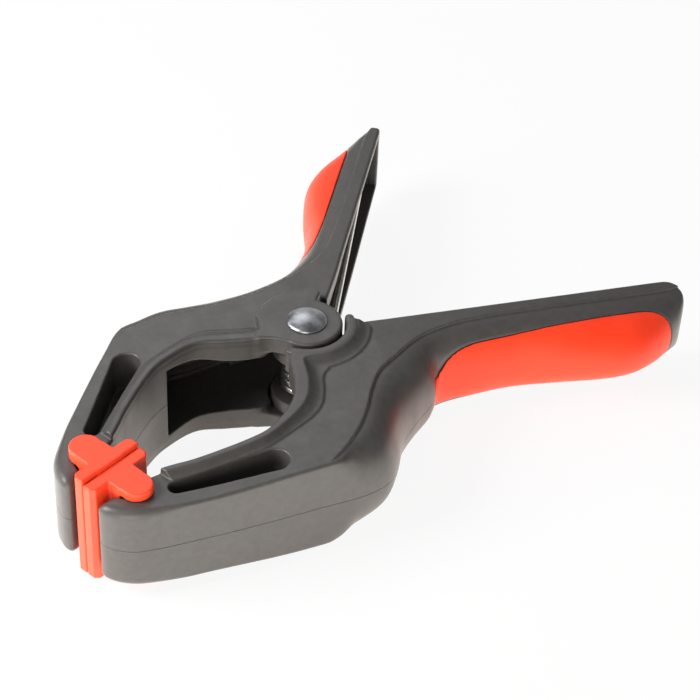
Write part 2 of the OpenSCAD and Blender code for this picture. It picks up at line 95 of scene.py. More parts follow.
# hinge
EAR_R, EAR_GAP, EAR_UNDER = 10.7, 0.25, 12.0
PLATE_R, PLATE_TOP, PLATE_BACK, PLATE_FROM = 15.2, 18.0, 17.3, 25.0
CUP_R, HOOK_T, CREST_Z = 11.8, 2.8, 17.6
HOOK_FROM, HOOK_TO, HOOK_WINDOW = 33.0, 163.0, 75.0  # degrees round the pivot
INNER_EAR_R, INNER_EAR_TOP, COIL_SPACE = 10.2, 11.75, 7.42
RIVET_R, HEAD_R, HEAD_RIM, HEAD_DOME, TAIL_T = 3.0, 6.0, 0.6, 1.5, 1.0
RIVET_PLAY = {FAR: 0.02, NEAR: 0.05}

# pads and the jaws' knuckles
PAD_X, PAD_V, PAD_LEN, PAD_T = 81.8, 10.0, 21.4, 4.0
PAD_EAR_R, PAD_EAR_T, PAD_GAP, FAR_PAD_EXTRA = 4.6, 2.6, 0.3, 1.2
KNUCKLE_R, NUB_R, NUB_H, NUB_PLAY = 4.0, 2.0, 1.1, 0.05

# pockets, channels, grips and spring
POCKET = {"tip": (-76.8, 2.2, 5.3), "big": (-51.4, 4.0, 3.8)}  # place on the wall, radius, wall outside it
POCKET_WEB = 2.6
RIB_H, RIB_PITCH, RIB_STATION = 0.28, 2.6, 12  # the ribs end at this station
TIP_WALL = 2.6  # solid nylon past the channel's end
GRIP_T, GRIP_BACKING = 2.6, 1.4
GRIP_GROOVE = 0.12
GRIP_EDGE = {FAR: 9.2, NEAR: 11.4}
WIRE_R, COIL_R, COIL_TURNS, TURN_GAP, LEG_LEN, LEG_SEAT = 1.05, 6.2, 4, 0.5, 86.0, 2.2

# meshing
PITCH_FINE, PITCH_ARM = 0.26, 0.42
FINE = 16  # points of a curve from one station to the next

# Along the handle: distance short of the tip, lean of the spine, extra width of the flat, then for the far
# and for the near arm the inner edge's offset and the depth as a share of the bulge.
HANDLE_ROWS = [
    (74, 6, 1.6, 0, 0.68, 0, 0.66),
    (60, 4, 0.3, 0, 0.71, 0, 0.67),
    (45, 2.5, 0, 0, 0.86, 0, 0.805),
    (31, 2, 0, 0, 0.94, 0, 0.935),
    (20, 1, 0, 0, 0.84, 0, 0.94),
    (11, 0.5, 0, 0, 0.61, 0, 0.80),
    (5.5, 0.3, -0.2, 0, 0.46, 0, 0.65),
    (2.4, 0, -0.5, 0, 0.38, 0.1, 0.57),
    (0.3, 0, -1.0, 0.1, 0.29, 0.3, 0.51),
    (-1.4, 0, -1.6, 0.3, 0.235, 0.6, 0.46),
    (-5, 0, -2.4, 0.6, 0.19, 1.0, 0.4),
]

# The channel inside an arm, from its first station on: depth as a share of the arm, and how much thicker
# the flanges are than at the handle.
CAVITY_START = 6
CAVITY = [
    (0.66, 0), (0.76, 1.5), (0.79, 3), (0.79, 3), (0.74, 3), (0.74, 3), (0.68, 3), (0.6, 1.5),
    (0.6, 0), (0.56, -0.6), (0.5, -0.9), (0.48, -1), (0.48, -1), (0.5, -1), (0.5, -1), (0.5, -1),
]


# ---------------------------------------------------------------- the arms' curves
def jaw(side, x, v):
    """A point of the plan, v away from the closing line."""
    return (x, v + side * CLOSING_Y)


def jaw_wall(side, x, inset=0.0):
    """A point on the jaw's bowed outer wall, or inset from it."""
    bow = WALL_BOW * math.sin(math.pi * (x + JAW_REACH) / (JAW_REACH - SHOULDER_X))
    x0, w0 = jaw(side, x, SHOULDER_V + (x + SHOULDER_X) * math.tan(WALL_ANGLE) + bow)
    return (x0 + inset * math.sin(WALL_ANGLE), w0 - inset * math.cos(WALL_ANGLE))


def beside(side, s, d):
    """A point s along the handle and d across it from its rim."""
    off = RIM[side] + d
    c, n = math.cos(HANDLE_ANGLE), math.sin(HANDLE_ANGLE)
    return (s * c - off * n, s * n + off * c)


def stations(side):
    """Rows of inner edge, edge of the flat, spine, squareness of the flank, and step at the flat's edge."""
    end, root = -JAW_REACH, -SHOULDER_X
    waist = root - 8.3
    rows = [
        (jaw(side, end, 5.5), jaw(side, end + 2.2, 8.4), jaw(side, end - 0.1, 8.4), 9, 0),
        (jaw(side, end + 1, 5.5), jaw(side, end + 4, 11.8), jaw(side, end + 1.9, 13.0), 9, 0),
        (jaw(side, end + 5, 6.0), jaw_wall(side, end + 7.0, 2.2), jaw_wall(side, end + 7.0), 9, 0),
        (jaw(side, end + 20, 9.2), jaw_wall(side, end + 23, 1.3), jaw_wall(side, end + 23), 9, 0),
        (jaw(side, end + 30.8, 14.2), jaw_wall(side, end + 35.4, 1.0), jaw_wall(side, end + 35.4), 9, 0),
        (jaw(side, waist, THROAT_V - 1.2), jaw_wall(side, waist, 1.0), jaw_wall(side, waist), 9, 0),
        (jaw(side, root, THROAT_V), jaw_wall(side, root, 1.0), jaw_wall(side, root), 8, 0),
    ]
    if side == FAR:
        rows += [
            ((-29.7, 16.8), (-33.3, 36.6), (-30.6, 40.5), 4.5, 0.5),
            ((-22.2, 10.8), (-25.5, 35), (-21.8, 40), 3.0, 0.7),
            ((-15.2, 5.4), (-17.9, 31.2), (-15.3, 36.9), 2.5, 0.8),
            ((-8.8, 4.3), (-11, 27), (-7.2, 34), FLANK_POWER, RIM_STEP),
            ((0.5, 3.7), (-1.8, 23.5), (1.9, 29.4), FLANK_POWER, RIM_STEP),
            ((11.3, 3.5), (7.9, 21.3), (11, 26.6), FLANK_POWER, RIM_STEP),
            (beside(side, 25, 0), (19.3, 20.5), (20, 27), FLANK_POWER, RIM_STEP),
        ]
    else:
        rows += [
            ((-29.2, 20.3), (-32.1, 42.9), (-29.3, 49.2), 2.4, 0.5),
            ((-21.7, 14.9), (-22.1, 40), (-20.5, 50.8), FLANK_POWER, 0.7),
            ((-14.8, 6.7), (-14.2, 36.2), (-13.2, 48), FLANK_POWER, 0.8),
            ((-8.6, 5.5), (-7.3, 31.9), (-4.3, 42.7), FLANK_POWER, RIM_STEP),
            ((0.8, 7.2), (0.6, 28.2), (6.2, 39.8), FLANK_POWER, RIM_STEP),
            ((9.4, 7.7), (10.6, 26.9), (15.1, 38), FLANK_POWER, RIM_STEP),
            (beside(side, 27, 0), (21.3, 26.3), (23, 34.4), FLANK_POWER, RIM_STEP),
        ]
    for short, lean, extra, far_inner, far_share, near_inner, near_share in HANDLE_ROWS:
        s = HANDLE_LEN[side] - short
        inner, share = (far_inner, far_share) if side == FAR else (near_inner, near_share)
        depth = share * BULGE[side]
        flat = min(inner + RIM_W + extra, depth - 0.8)
        spine = beside(side, s + lean, depth)
        rows.append((beside(side, s, inner), beside(side, s, flat), spine, FLANK_POWER, RIM_STEP))
    return rows


def smooth_rows(values, places):
    """Catmull-Rom through a row of values, at places counted in rows."""
    values = np.asarray(values, float).reshape(len(values), -1)
    last = len(values) - 1
    i = np.minimum(np.floor(places).astype(int), last - 1)
    f = (places - i)[:, None]
    a, b = values[np.maximum(i - 1, 0)], values[i]
    c, d = values[i + 1], values[np.minimum(i + 2, last)]
    return b + 0.5 * f * (c - a + f * (2 * a - 5 * b + 4 * c - d + f * (3 * (b - c) + d - a)))


# ---------------------------------------------------------------- distance fields
def near_line(line, X, W):
    """Distance from each point of the plan to an open line, and the place of the nearest point, in points."""
    best = np.full(X.shape, 1e9)
    place = np.zeros(X.shape)
    for i in range(len(line) - 1):
        (ax, aw), (bx, bw) = line[i], line[i + 1]
        ex, ew = bx - ax, bw - aw
        size = ex * ex + ew * ew
        if size < 1e-12:
            continue
        h = np.clip(((X - ax) * ex + (W - aw) * ew) / size, 0, 1)
        d = (X - ax - h * ex) ** 2 + (W - aw - h * ew) ** 2
        closer = d < best
        best = np.where(closer, d, best)
        place = np.where(closer, i + h, place)
    return np.sqrt(best), place


def inside(loop, X, W):
    """True for the points of the plan inside a closed outline."""
    odd = np.zeros(X.shape, bool)
    for i in range(len(loop)):
        (ax, aw), (bx, bw) = loop[i - 1], loop[i]
        if aw == bw:
            continue
        odd ^= ((aw > W) != (bw > W)) & (X < (bx - ax) * (W - aw) / (bw - aw) + ax)
    return odd


def region(loop, X, W):
    """Signed distance to a closed outline, less than 0 inside."""
    loop = [tuple(p) for p in loop]
    d, _ = near_line(loop + [loop[0]], X, W)
    return np.where(inside(loop, X, W), -d, d)


def fmax(*fields):
    """Where all the fields overlap, with sharp edges."""
    out = fields[0]
    for f in fields[1:]:
        out = np.maximum(out, f)
    return out


def round_max(a, b, r):
    """Where two fields overlap, with a rounded edge of radius r."""
    return np.minimum(np.maximum(a, b), -r) + np.sqrt(np.maximum(a + r, 0) ** 2 + np.maximum(b + r, 0) ** 2)


def blend_min(a, b, k):
    """Both fields joined with a fillet about k wide."""
    h = np.clip(0.5 + 0.5 * (b - a) / k, 0, 1)
    return b + (a - b) * h - k * h * (1 - h)


def blend_max(a, b, k):
    """Where both fields overlap, with a fillet about k wide."""
    return -blend_min(-a, -b, k)


def ramp(x, low, high):
    """0 up to low, 1 from high on, and smooth between."""
    f = np.clip((x - low) / (high - low), 0, 1)
    return f * f * (3 - 2 * f)


def disc(X, W, x, w, r):
    return np.hypot(X - x, W - w) - r


def arc(r, start, end, steps):
    """Points of a circle round the pivot, from start to end degrees."""
    return [(r * math.cos(a), r * math.sin(a)) for a in np.radians(np.linspace(start, end, steps))]


def soften(plan, steps):
    """The plan field averaged over its neighbours, steps times, to take the facets of the curves out."""
    for _ in range(steps):
        for axis in (0, 1):
            wide = np.pad(plan, [(1, 1) if k == axis else (0, 0) for k in (0, 1)], "edge")
            low, high = (wide[:-2], wide[2:]) if axis == 0 else (wide[:, :-2], wide[:, 2:])
            plan = 0.5 * plan + 0.25 * (low + high)
    return plan


class Block:
    """A box of grid points: X and W on the plan, Z up, all in mm."""

    def __init__(self, low, high, pitch):
        self.low, self.pitch = np.array(low, float), pitch
        count = np.ceil((np.array(high) - self.low) / pitch).astype(int) + 1
        x, w, z = (self.low[i] + pitch * np.arange(count[i]) for i in range(3))
        self.X, self.W = (g[:, :, None].astype(np.float32) for g in np.meshgrid(x, w, indexing="ij"))
        self.Z = z[None, None, :].astype(np.float32)

    def spread(self, plan):
        return plan.astype(np.float32)[:, :, None]

    def plan_region(self, loop):
        return self.spread(region(loop, self.X[:, :, 0], self.W[:, :, 0]))


def along_handle(X, W):
    """How far along the handle each point of the plan lies from the pivot."""
    return X * math.cos(HANDLE_ANGLE) + W * math.sin(HANDLE_ANGLE)


def half_at(side, X, W):
    """Half the arm's thickness: it thins to the nose and to the handle's tip."""
    past_start = np.maximum(0, along_handle(X, W) - TAPER_START)
    handle = (HALF_T - TIP_HALF) * past_start / (HANDLE_LEN[side] - TAPER_START)
    return HALF_T - handle - (HALF_T - NOSE_HALF) * ramp(-X, SHOULDER_X + 2, JAW_REACH - 20)


class Arm:
    """One arm's plan: its curves, and the distances of every grid point to them."""

    def __init__(self, side, block):
        self.side, self.block = side, block
        X, W = block.X[:, :, 0], block.W[:, :, 0]
        rows = stations(side)
        places = np.linspace(0, len(rows) - 1, FINE * (len(rows) - 1) + 1)
        inner, rim, spine = (smooth_rows([r[k] for r in rows], places) for k in range(3))
        power = np.maximum(smooth_rows([r[3] for r in rows], places)[:, 0], FLANK_POWER)
        step = np.clip(smooth_rows([r[4] for r in rows], places)[:, 0], 0, RIM_STEP)
        cavity = smooth_rows(CAVITY, np.clip(places - CAVITY_START, 0, len(CAVITY) - 1))
        out = soften(region([*inner, *spine[::-1]], X, W), 8)
        flat = region([*inner, *rim[::-1]], X, W)
        to_inner, place_inner = near_line(inner, X, W)
        to_flat, place_flat = near_line(rim, X, W)
        to_spine, _ = near_line(spine, X, W)
        index = np.arange(len(places))
        self.out, self.plateau = block.spread(out), block.spread(flat)
        beyond = (out > 0) & (to_inner < to_spine)
        self.past_inner = block.spread(np.where(beyond, to_inner, -to_inner))
        width = np.maximum(np.where(out < 0, to_flat + to_spine, to_flat - to_spine), 0.6)
        share = soften(np.where(flat < 0, -0.3 * to_flat / width, to_flat / width), 6)
        self.flank_width, self.flank = block.spread(soften(width, 10)), block.spread(np.maximum(share, 0))
        self.power = block.spread(soften(np.interp(place_flat, index, power), 10))
        self.step = block.spread(np.interp(place_flat, index, step))
        self.place = block.spread(place_inner / FINE)
        across = to_inner + to_spine
        depth = np.interp(place_inner, index, cavity[:, 0])
        self.past_floor = block.spread(np.where(beyond, -to_inner, to_inner) - depth * across)
        self.flange = block.spread(FLANGE_T + np.interp(place_inner, index, cavity[:, 1]))
        self.half = block.spread(half_at(side, X, W))
        self.s = block.spread(along_handle(X, W))

    def shell(self):
        """The arm's outside without its lip: flat, flank and square jaw, before anything is cut."""
        b, half = self.block, self.half
        z = np.abs(b.Z)
        top = z - half
        flank_half = half - self.step
        height = z / flank_half
        n = self.power
        g = (self.flank ** n + height ** n) ** (1 / n)
        across = self.flank ** (n - 1) / self.flank_width
        up = height ** (n - 1) / flank_half
        slope = np.sqrt(across ** 2 + up ** 2) * np.maximum(g, 1e-6) ** (1 - n)
        flank = (g - 1) / np.maximum(slope, 1e-3)
        edge = round_max(self.past_inner, top, EDGE_R)
        body = np.minimum(fmax(self.plateau, edge), round_max(flank, self.past_inner, EDGE_R))
        body = fmax(body, self.out - 0.3)
        nose = EDGE_R + (NOSE_EDGE_R - EDGE_R) * ramp(-b.X, 74, 90)
        jaw_block = round_max(self.out, top, nose)
        weight = ramp(-b.X, 36, 41)
        return self.ended(body + (jaw_block - body) * weight)

    def ended(self, body):
        """The body cut at the handle's tip, which is round in plan on the near arm."""
        end = self.s - HANDLE_LEN[self.side] - TIP_OVER
        if self.side == NEAR:
            end = round_max(self.out - TIP_R[NEAR], end, TIP_ROUND)
        return round_max(body, end, TIP_R[self.side])

    def lip(self, past_edge, fall, past_foot, drop=0):
        """The raised lip round an edge: flat crest, hollow slope as fall goes from 0 to 1, and small step."""
        z = np.abs(self.block.Z)
        height = LIP_H * (LIP_STEP + (1 - LIP_STEP) * (1 - fall) ** LIP_HOLLOW) - drop
        lip = fmax(round_max(past_edge, z - self.half - height, EDGE_R), past_foot)
        return fmax(lip, LIP_START - self.block.X, self.out)

    def cavity(self, shell, covered):
        """The channel inside the arm, with low ribs at its root, and nylon left behind the grip."""
        b = self.block
        before = -SHOULDER_X - b.X
        after = self.s - HANDLE_LEN[self.side] + TIP_WALL
        striped = np.abs((b.Z / RIB_PITCH) % 1.0 - 0.5) < 0.2
        ribs = RIB_H * striped * ramp(RIB_STATION - self.place, 0, 0.3)
        room = round_max(self.past_floor + ribs, np.abs(b.Z) - (self.half - self.flange), EDGE_R)
        backed = np.minimum(shell + GRIP_T + GRIP_BACKING, 2 - covered)
        return fmax(room, before, after, backed)


def pocket(side, block):
    """The tapered pocket in each face of a jaw, with a web between the two."""
    points = []
    for name in ("tip", "big"):
        x, r, wall = POCKET[name]
        points.append((np.array(jaw_wall(side, x, r + wall)), r))
    (a, ra), (c, rc) = points
    e = c - a
    h = np.clip(((block.X - a[0]) * e[0] + (block.W - a[1]) * e[1]) / (e @ e), 0, 1)
    plan = np.hypot(block.X - a[0] - h * e[0], block.W - a[1] - h * e[1]) - (ra + (rc - ra) * h)
    return round_max(plan, POCKET_WEB - np.abs(block.Z), 0.7)


def pad_notch(side, block):
    """The notch in the jaw's inner edge that the pad swings in."""
    half, floor = PAD_EAR_R + 0.4, PAD_V + 0.8
    left, right = -PAD_X - half, -PAD_X + half
    loop = [(left, -2), (left, floor - 2.4), (left + 1.2, floor)]
    loop += [(right + 0.2, floor), (right + 2.6, PAD_T), (right + 2.6, -2)]
    return block.plan_region([jaw(side, *p) for p in loop])


def knuckle(side, block):
    """The post in the notch that carries the pad, with a nub on each face."""
    x, w = jaw(side, -PAD_X, PAD_V)
    z = np.abs(block.Z)
    web = fmax(np.abs(block.X - x) - KNUCKLE_R, w - block.W, block.W - w - 5)
    body = round_max(np.minimum(disc(block.X, block.W, x, w, KNUCKLE_R), web), z - NOSE_HALF, 0.4)
    nub = round_max(disc(block.X, block.W, x, w, NUB_R), z - NOSE_HALF - NUB_H, 0.3)
    return np.minimum(body, nub)


def grip_outline(side):
    """The grip's outline on the plan, open past the spine."""
    deep, edge, end = BULGE[side], GRIP_EDGE[side], HANDLE_LEN[side]
    rows = [
        (33, deep + 9), (33.9, edge + 7.6), (36.7, edge + 4.4), (41, edge + 2.3), (47, edge + 1.0),
        (56, edge + 0.3), (68, edge), (end - 22, edge - 0.2), (end - 13, edge - 0.2), (end - 8.5, edge + 0.8),
        (end - 5.6, edge + 2.8), (end - 4.6, edge + 6.4), (end - 4.6, deep + 9),
    ]
    smooth = smooth_rows([beside(side, *p) for p in rows[1:-1]], np.linspace(0, len(rows) - 3, 61))
    return [beside(side, *rows[0])] + list(map(tuple, smooth)) + [beside(side, *rows[-1])]


def grip_fields(arm, shell):
    """The grip's region of the flank, and the depth of the nylon core under it."""
    block = arm.block
    plan = region(grip_outline(arm.side), block.X[:, :, 0], block.W[:, :, 0])
    covered = block.spread(soften(plan, 3))
    under = ramp(-block.Z, 0, 6) * ramp(46 - arm.s, 0, 8)
    return covered - 1.3 * under, shell + GRIP_T


def cut_grip(field, covered, core):
    """Leaves room for the grip, with a fine groove round it."""
    slot = fmax(covered - GRIP_GROOVE, -core)
    return blend_max(field, -slot, 0.35)


def hollowed(arm, body, shell):
    """The body with its channel, pockets, notch and grip's recess cut; also the grip's fields."""
    covered, core = grip_fields(arm, shell)
    body = blend_max(body, -arm.cavity(shell, covered), 0.4)
    body = blend_max(body, -pocket(arm.side, arm.block), 0.5)
    body = blend_max(body, -pad_notch(arm.side, arm.block), 0.4)
    return cut_grip(body, covered, core), covered, core


def throat_slope(arm, near_hinge, crest_gain, wide_gain):
    """How far the throat's lip has fallen, and the distance past its foot; it widens near the hinge."""
    crest = CREST_W + crest_gain * near_hinge
    wide = RIM_W + wide_gain * near_hinge
    away = -arm.past_inner
    return (away - crest) / (wide - crest), away - wide


def plate_field(b, r):
    """The outer ears: the raised plate round the rivet's head, and its twin at the back."""
    plan = b.plan_region(arc(PLATE_R, PLATE_FROM, 120, 24) + [(-13.9, 5.3), (-10.4, -2.4), (0, 0)])
    ear = np.minimum(plan, r - EAR_R)
    top = round_max(ear, fmax(b.Z - PLATE_TOP, EAR_UNDER - b.Z), 0.8)
    back = round_max(ear, fmax(-b.Z - PLATE_BACK, EAR_UNDER + b.Z), 0.5)
    return np.minimum(top, back)


def far_arm_field(arm):
    """The arm with the outer ears and the raised plate; also its shell and the grip's fields."""
    b = arm.block
    r = np.hypot(b.X, b.W)
    shell = arm.shell()
    fall, foot = throat_slope(arm, ramp(b.X, -34, -20), 0.8, 2.5)
    drop = 2.4 * ramp(b.X, -13, -5)
    lip = arm.lip(arm.past_inner, np.clip(fall, 0, 1), fmax(foot, b.X - 8), drop)
    body, covered, core = hollowed(arm, blend_min(shell, lip, 0.25), shell)
    hook_room = b.plan_region(arc(CUP_R + HOOK_T + 0.35, PLATE_FROM, PLATE_FROM - 203, 60) + [(0, 0)])
    coil_room = fmax(r - EAR_R - EAR_GAP, np.abs(b.Z) - EAR_UNDER)
    body = fmax(body, -hook_room, -coil_room)
    flow = 0.7 + 3.0 * ramp(-b.X, 8, 13) * ramp(9 - b.W, 0, 3)
    body = blend_min(body, plate_field(b, r), flow)
    body = fmax(body, b.Z - PLATE_TOP, -b.Z - CREST_Z)
    body = np.minimum(body, knuckle(FAR, b))
    return fmax(body, RIVET_R + RIVET_PLAY[FAR] - r), shell, covered, core


def hook_lip(arm, r, angle):
    """The throat's lip, which turns smoothly into the lip round the hook."""
    b = arm.block
    past_throat = ramp(b.X, -10, -4)
    fall, foot = throat_slope(arm, ramp(b.X, -42, -20), 2.0, 4.0)
    throat_fall = np.clip(fall + past_throat, 0, 1)
    throat_foot = foot + 16 * past_throat
    wide = 0.4 + 3.8 * ramp(angle, HOOK_FROM, HOOK_FROM + 14)
    from_hook = r - CUP_R - HOOK_T - 0.3
    hook_fall = np.clip(from_hook / wide, 0, 1)
    hook_foot = fmax(from_hook - wide, HOOK_FROM - angle)
    both = np.clip(blend_min(throat_fall, hook_fall, 0.5), 0, 1)
    return arm.lip(fmax(arm.past_inner, CUP_R - r), both, blend_min(throat_foot, hook_foot, 6))


def hook_field(b, r, z):
    """The hook: part of a ring round the outer ears, with a round free end."""
    mid = CUP_R + HOOK_T / 2
    start, end = np.radians(HOOK_FROM), np.radians(HOOK_TO)
    before = b.X * math.sin(start) - b.W * math.cos(start)
    after = b.W * math.cos(end) - b.X * math.sin(end)
    ring = fmax(np.abs(r - mid) - HOOK_T / 2, before, after)
    free_end = disc(b.X, b.W, mid * math.cos(start), mid * math.sin(start), HOOK_T / 2)
    return round_max(np.minimum(ring, free_end), z - CREST_Z, 0.8)


def near_arm_field(arm):
    """The arm with the inner ears and the hook round the outer ones; also its shell and the grip's fields."""
    b = arm.block
    r = np.hypot(b.X, b.W)
    z = np.abs(b.Z)
    angle = np.degrees(np.arctan2(b.W, b.X))
    shell = arm.shell()
    body = blend_min(shell, hook_lip(arm, r, angle), 0.25)
    body = blend_min(body, hook_field(b, r, z), 0.4)
    body = fmax(body, CUP_R - r)
    body, covered, core = hollowed(arm, body, shell)
    through_hook = fmax(CUP_R - 1 - r, r - CUP_R - HOOK_T - 2)
    window = fmax(z - COIL_SPACE, through_hook, angle - HOOK_WINDOW, HOOK_FROM - 20 - angle)
    body = fmax(body, -window)
    wedge = b.plan_region([(0, 0)] + arc(CUP_R + 1, HOOK_FROM + 5, HOOK_TO - 7, 12))
    ears = round_max(np.minimum(r - INNER_EAR_R, wedge), fmax(z - INNER_EAR_TOP, COIL_SPACE - z), 0.3)
    body = np.minimum(np.minimum(body, ears), knuckle(NEAR, b))
    return fmax(body, RIVET_R + RIVET_PLAY[NEAR] - r), shell, covered, core


def grip_field(shell, covered, core):
    """The grip: the shell's skin over the covered region, GRIP_T thick."""
    return fmax(round_max(shell, covered + 0.05, 0.45), -core)


# ---------------------------------------------------------------- meshing
def link(name, data):
    """A new object of the scene."""
    obj = bpy.data.objects.new(name, data)
    bpy.context.scene.collection.objects.link(obj)
    return obj


def sample(field, block, points):
    """The field at points in mm, between grid points."""
    p = (points - block.low) / block.pitch
    i = np.clip(np.floor(p).astype(int), 0, np.array(field.shape) - 2)
    f = p - i
    out = 0
    for k in range(8):
        o = np.array([k & 1, k >> 1 & 1, k >> 2 & 1])
        weight = np.prod(np.where(o, f, 1 - f), axis=1)
        j = i + o
        out = out + weight * field[j[:, 0], j[:, 1], j[:, 2]]
    return out


def slope_at(field, block, points):
    """Unit vectors along which the field rises fastest at points."""
    steps = np.eye(3) * block.pitch * 0.6
    g = np.stack([sample(field, block, points + o) - sample(field, block, points - o) for o in steps], axis=1)
    return g / np.maximum(np.linalg.norm(g, axis=1, keepdims=True), 1e-9)


def mesh_field(name, field, block, side):
    """Skins the field at 0, pulls the points onto it, and takes smooth normals from its slope."""
    limit = 3 * block.pitch
    field = np.clip(field, -limit, limit).astype(np.float32)
    grid = openvdb.FloatGrid(limit)
    grid.copyFromArray(field)
    points, quads = grid.convertToQuads(isovalue=0.0)
    points = points.astype(float) * block.pitch + block.low
    for _ in range(2):
        value = sample(field, block, points)
        g = slope_at(field, block, points)
        points = points - g * np.clip(value, -0.4 * block.pitch, 0.4 * block.pitch)[:, None]
    normals = slope_at(field, block, points)
    points = points * [1, side, 1] + [0, 0, REST_Z]
    normals = normals * [1, side, 1]
    mesh = bpy.data.meshes.new(name)
    a, b, c = (points[quads[:, k]] for k in range(3))
    turned = np.einsum("ij,ij->i", np.cross(b - a, c - b), normals[quads[:, 0]]).sum() < 0
    quads = quads[:, ::-1] if turned else quads
    mesh.from_pydata((points * MM).tolist(), [], quads.tolist())
    mesh.validate()
    mesh.shade_smooth()
    if len(mesh.vertices) == len(normals):
        mesh.normals_split_custom_set_from_vertices(normals.tolist())
    return link(name, mesh)


def piece(obj, body, node, slot):
    """Puts obj in place of a node, with its slot's material, on a body."""
    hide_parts(node)
    obj.data.materials.append(LOOK[slot])
    if body:
        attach(obj, body)
    return obj


# ---------------------------------------------------------------- pads
def pad_field(side, extra, b):
    """A pad: its bar along the jaw's mouth, and an ear with a bore for the nub on each face of the jaw."""
    x, w = jaw(side, -PAD_X, PAD_V)
    face = w - PAD_V + 0.05
    X, W, z = np.abs(b.X - x), b.W, np.abs(b.Z)
    ear_in = NOSE_HALF + PAD_GAP
    high = ear_in + PAD_EAR_T
    half_len = PAD_LEN / 2
    ends = round_max(b.Z - high - extra, -high - b.Z, 0.4)
    bar = round_max(round_max(X - half_len, face - W, 0.5), W - face - PAD_T, 0.5)
    bevel = (X - half_len + W - face - PAD_T) * math.sqrt(0.5) + 0.9
    neck = fmax(X - PAD_EAR_R, face - W, W - w + 2)
    lobe = np.minimum(disc(b.X, W, x, w, PAD_EAR_R), fmax(X - PAD_EAR_R, face + 0.5 - W, W - w))
    lobe = fmax(lobe, ear_in - z)
    plan = blend_min(blend_min(fmax(bar, bevel), neck, 0.8), lobe, 0.6)
    body = round_max(plan, ends, 0.6)
    saddle = fmax(disc(b.X, W, x, w, KNUCKLE_R + PAD_GAP), z - ear_in)
    nub = fmax(disc(b.X, W, x, w, NUB_R + NUB_PLAY), z - ear_in - NUB_H)
    return blend_max(fmax(body, -nub), -saddle, 0.25)


# ---------------------------------------------------------------- round pieces
def tube(name, rings):
    """Skin over closed rings of points, with its two ends filled."""
    n = len(rings[0])
    faces = []
    for i in range(0, (len(rings) - 1) * n, n):
        faces += [(i + k, i + (k + 1) % n, i + n + (k + 1) % n, i + n + k) for k in range(n)]
    faces += [tuple(range(n - 1, -1, -1)), tuple(range((len(rings) - 1) * n, len(rings) * n))]
    mesh = bpy.data.meshes.new(name)
    mesh.from_pydata([tuple(c * MM for c in p) for ring in rings for p in ring], [], faces)
    mesh.shade_smooth()
    return link(name, mesh)


def lathe(name, profile, steps=128):
    """Turns a profile of (radius, height) round the pivot's axis, from the bottom up."""
    angles = [2 * math.pi * k / steps for k in range(steps)]
    rings = [[(r * math.cos(a), r * math.sin(a), z) for a in angles] for r, z in profile]
    return tube(name, rings)


def rivet():
    """The rivet, from its flat formed tail up to its domed head."""
    bottom = REST_Z - PLATE_BACK - TAIL_T
    head = REST_Z + PLATE_TOP
    dome_r = (HEAD_R ** 2 + HEAD_DOME ** 2) / (2 * HEAD_DOME)
    tail_r = HEAD_R - 0.8
    tail = [(0.01, bottom), (tail_r - 0.4, bottom), (tail_r, bottom + 0.3)]
    tail += [(tail_r, bottom + TAIL_T), (RIVET_R, bottom + TAIL_T)]
    edge = [(HEAD_R - 0.15, head), (HEAD_R, head + 0.2)]
    edge += [(HEAD_R, head + HEAD_RIM - 0.25), (HEAD_R - 0.12, head + HEAD_RIM - 0.05)]
    dome = []
    for f in np.linspace(0, 0.999, 14):
        r = (HEAD_R - 0.35) * (1 - f)
        dome.append((r, head + HEAD_RIM + math.sqrt(dome_r ** 2 - r ** 2) - dome_r + HEAD_DOME))
    return lathe("rivet_body", tail + [(RIVET_R, head)] + edge + dome)


def spring_path():
    """The wire's middle line: the near leg from its end, the coil, and the far leg."""
    lean = {side: HANDLE_ANGLE + math.asin((RIM[side] + LEG_SEAT + COIL_R) / LEG_LEN) for side in (FAR, NEAR)}
    start = math.pi / 2 - lean[NEAR]
    sweep = lean[FAR] + lean[NEAR] - math.pi + 2 * math.pi * (COIL_TURNS + 1)
    rise = (2 * WIRE_R + TURN_GAP) * sweep / (2 * math.pi)
    coil = []
    for f in np.linspace(0, 1, 56 * (COIL_TURNS + 1)):
        a = start + f * sweep
        coil.append((COIL_R * math.cos(a), COIL_R * math.sin(a), (f - 0.5) * rise))
    legs = {}
    for side, p in ((NEAR, coil[0]), (FAR, coil[-1])):
        a = side * lean[side]
        reach = np.linspace(LEG_LEN, 2, 24)
        legs[side] = [(p[0] + d * math.cos(a), p[1] + d * math.sin(a), p[2]) for d in reach]
    return legs[NEAR] + coil + legs[FAR][::-1]


def spring():
    """The wire, with its two ends slightly chamfered."""
    path = np.array(spring_path())
    heads = np.gradient(path, axis=0)
    heads /= np.linalg.norm(heads, axis=1, keepdims=True)
    side = np.cross([0, 0, 1], heads)
    side /= np.linalg.norm(side, axis=1, keepdims=True)
    up = np.cross(heads, side)
    angles = 2 * np.pi * np.arange(16) / 16
    last = len(path) - 1
    rings = []
    for i, p in enumerate(path):
        p = p + [0, 0, REST_Z]
        ring = [p + WIRE_R * (side[i] * math.cos(a) + up[i] * math.sin(a)) for a in angles]
        rings.append([tuple(q) for q in ring])
        if i in (0, last):
            out = heads[i] * (0.25 if i else -0.25)
            small = [tuple(p + 0.75 * (q - p) + out) for q in ring]
            rings = [small] + rings if i == 0 else rings + [small]
    return tube("spring_wire", rings)


